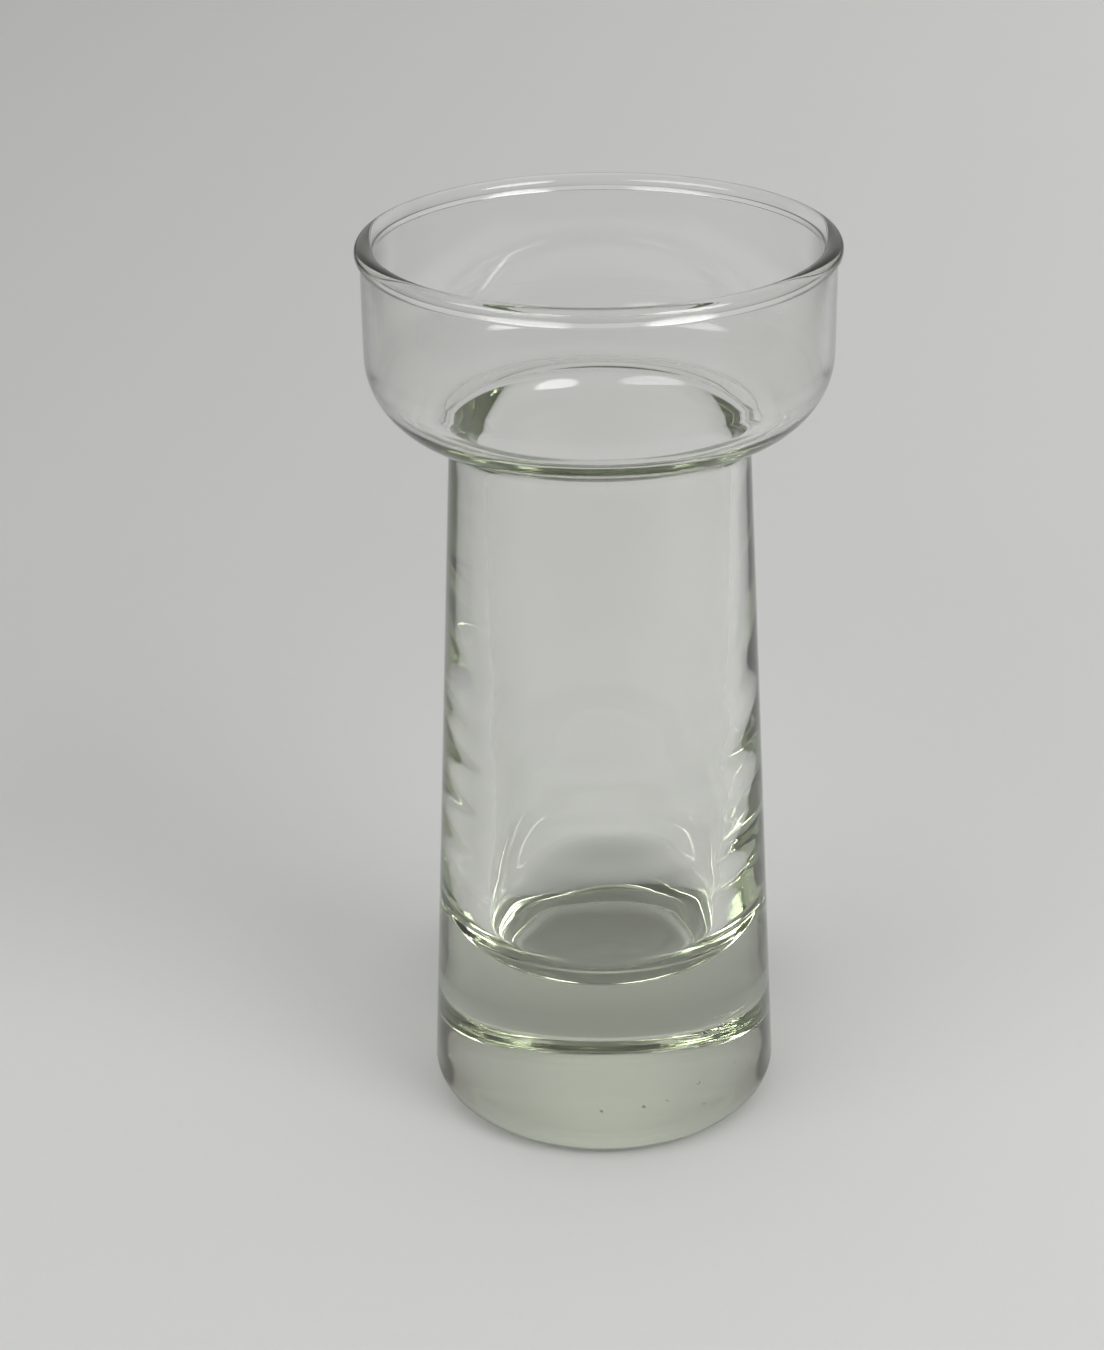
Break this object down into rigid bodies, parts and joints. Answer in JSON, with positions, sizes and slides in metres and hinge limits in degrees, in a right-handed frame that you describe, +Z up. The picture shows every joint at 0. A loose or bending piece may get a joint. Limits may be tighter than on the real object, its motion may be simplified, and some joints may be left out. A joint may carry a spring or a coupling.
{
  "type": "hyacinth forcing vase",
  "caption": "Clear glass hyacinth forcing vase: a round bulb cup with a rolled rim and a narrow throat, on a tapered water column with a thick solid base.",
  "frame": {"origin": "centre of the foot, on the surface the vase stands on", "axes": "+Z up along the axis of the vase; the vase is round, so X and Y are free"},
  "size_m": [0.075, 0.075, 0.15],
  "materials": {
    "clear_glass": "fire-polished clear soda-lime glass with a faint green tint"
  },
  "bodies": {
    "root": {"solid_base": "clear_glass", "column_wall": "clear_glass", "neck_seat": "clear_glass", "bulb_cup": "clear_glass", "rim_bead": "clear_glass"}
  },
  "joints": []
}
